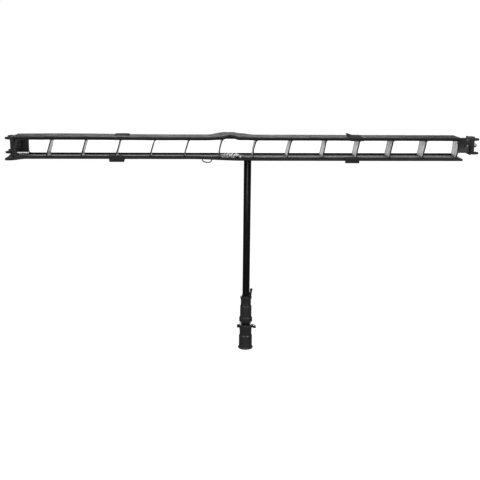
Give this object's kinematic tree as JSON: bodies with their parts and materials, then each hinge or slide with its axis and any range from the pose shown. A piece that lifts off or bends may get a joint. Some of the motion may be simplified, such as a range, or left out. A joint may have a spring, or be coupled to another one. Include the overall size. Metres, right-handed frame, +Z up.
{
  "type": "strip softbox",
  "caption": "Long LED bar light with a fabric skirt and egg-crate grid, on a tilting, swivelling bracket and the telescoping top sections of a light stand.",
  "frame": {"origin": "on the stand column's axis, at the bottom face of the lower collar", "axes": "X along the light, the light's front faces -Y, +Z up along the column"},
  "size_m": [1.226, 0.1885, 0.6138],
  "materials": {
    "stand_tube": "gloss black enamel on steel tube",
    "collar_plastic": "dark grey moulded nylon, satin",
    "black_plastic": "black moulded plastic, fine texture",
    "anodised": "black anodised extrusion, satin",
    "black_steel": "blackened steel screw",
    "steel": "zinc plated or turned steel",
    "diffuser": "opal polycarbonate, lit from behind",
    "circuit_board": "white solder mask on aluminium or fibreglass",
    "battery_wrap": "blue heat-shrink film",
    "rubber": "soft black rubber",
    "status_lens": "clear light pipe",
    "outer_fabric": "black woven nylon outside, bonded silver lining inside",
    "rod_fibre": "pultruded glass-fibre rod",
    "webbing": "pale nylon ribbon",
    "silver_fabric": "silver-coated fabric",
    "hook_tape": "black hook-and-loop tape"
  },
  "bodies": {
    "stand_base": {"base_tube": "stand_tube", "lower_collar": "collar_plastic", "lower_bush": "black_plastic", "lower_clamp_bolt": "black_steel"},
    "lower_knob": {"lower_knob": "collar_plastic"},
    "stand_middle": {"mid_tube": "stand_tube", "upper_collar": "collar_plastic", "upper_bush": "black_plastic", "upper_clamp_bolt": "black_steel"},
    "upper_lever": {"upper_lever": "collar_plastic"},
    "stand_riser": {"riser_tube": "stand_tube", "spigot": "steel"},
    "receiver": {"receiver": "black_plastic", "tilt_bolt": "steel"},
    "receiver_knob": {"receiver_knob": "collar_plastic"},
    "tilt_handle": {"tilt_handle": "collar_plastic"},
    "shoe": {"rail_shoe": "anodised", "rail_nut": "steel", "left_rail_screw": "steel", "right_rail_screw": "steel"},
    "light": {"housing": "anodised", "diffuser": "diffuser", "led_board": "circuit_board", "battery_pack": "battery_wrap", "control_board": "circuit_board", "left_end_block": "black_plastic", "right_end_block": "collar_plastic", "left_end_guard": "rubber", "right_end_guard": "rubber", "power_inlet": "black_plastic", "status_lens": "status_lens", "block_screw": "steel"},
    "control_dial": {"control_dial": "steel"},
    "power_button": {"power_button": "rubber"},
    "skirt": {"upper_flap": "outer_fabric", "lower_flap": "outer_fabric", "upper_hem_rod": "rod_fibre", "lower_hem_rod": "rod_fibre", "pull_loop": "webbing"},
    "grid": {"grid_wall_01": "silver_fabric", "grid_wall_02": "silver_fabric", "grid_wall_03": "silver_fabric", "grid_wall_04": "silver_fabric", "grid_wall_05": "silver_fabric", "grid_wall_06": "silver_fabric", "grid_wall_07": "silver_fabric", "grid_wall_08": "silver_fabric", "grid_wall_09": "silver_fabric", "grid_wall_10": "silver_fabric", "grid_wall_11": "silver_fabric", "grid_wall_12": "silver_fabric", "grid_wall_13": "silver_fabric", "grid_wall_14": "silver_fabric", "grid_top_strip": "silver_fabric", "grid_bottom_strip": "silver_fabric", "upper_left_tab": "hook_tape", "upper_right_tab": "hook_tape", "lower_left_tab": "hook_tape", "lower_right_tab": "hook_tape"}
  },
  "joints": [
    {"name": "lower_knob_turn", "type": "hinge", "parent": "stand_base", "child": "lower_knob", "pos_m": [0.02, 0.0184, 0.0575], "axis": [1, 0, 0], "continuous": true},
    {"name": "mid_slide", "type": "slide", "parent": "stand_base", "child": "stand_middle", "axis": [0, 0, 1], "range_m": [0, 0.035]},
    {"name": "upper_lever_swing", "type": "hinge", "parent": "stand_middle", "child": "upper_lever", "pos_m": [0.012, 0.0169, 0.1435], "axis": [1, 0, 0], "range_deg": [-120, 20]},
    {"name": "riser_slide", "type": "slide", "parent": "stand_middle", "child": "stand_riser", "axis": [0, 0, 1], "range_m": [-0.046, 0.03]},
    {"name": "swivel", "type": "hinge", "parent": "stand_riser", "child": "receiver", "pos_m": [0, 0, 0.55], "axis": [0, 0, 1], "continuous": true},
    {"name": "receiver_knob_turn", "type": "hinge", "parent": "receiver", "child": "receiver_knob", "pos_m": [0, 0.02, 0.55035], "axis": [0, 1, 0], "continuous": true},
    {"name": "tilt_handle_swing", "type": "hinge", "parent": "receiver", "child": "tilt_handle", "pos_m": [0.02, 0, 0.583], "axis": [1, 0, 0], "range_deg": [-50, 20]},
    {"name": "tilt", "type": "hinge", "parent": "receiver", "child": "shoe", "pos_m": [0, 0, 0.583], "axis": [-1, 0, 0], "range_deg": [-30, 90]},
    {"name": "bar_slide", "type": "slide", "parent": "shoe", "child": "light", "axis": [1, 0, 0], "range_m": [-0.505, 0.52]},
    {"name": "dial_turn", "type": "hinge", "parent": "light", "child": "control_dial", "pos_m": [0.5955, -0.057, 0.583], "axis": [1, 0, 0], "continuous": true},
    {"name": "button_press", "type": "slide", "parent": "light", "child": "power_button", "axis": [0, 1, 0], "range_m": [0, 0.0012], "stiffness_N_per_m": 500, "springref_m": -0.0004},
    {"name": "skirt_pull", "type": "slide", "parent": "light", "child": "skirt", "axis": [0, -1, 0], "range_m": [0, 0.12]},
    {"name": "grid_pull", "type": "slide", "parent": "skirt", "child": "grid", "axis": [0, -1, 0], "range_m": [0, 0.07]}
  ]
}
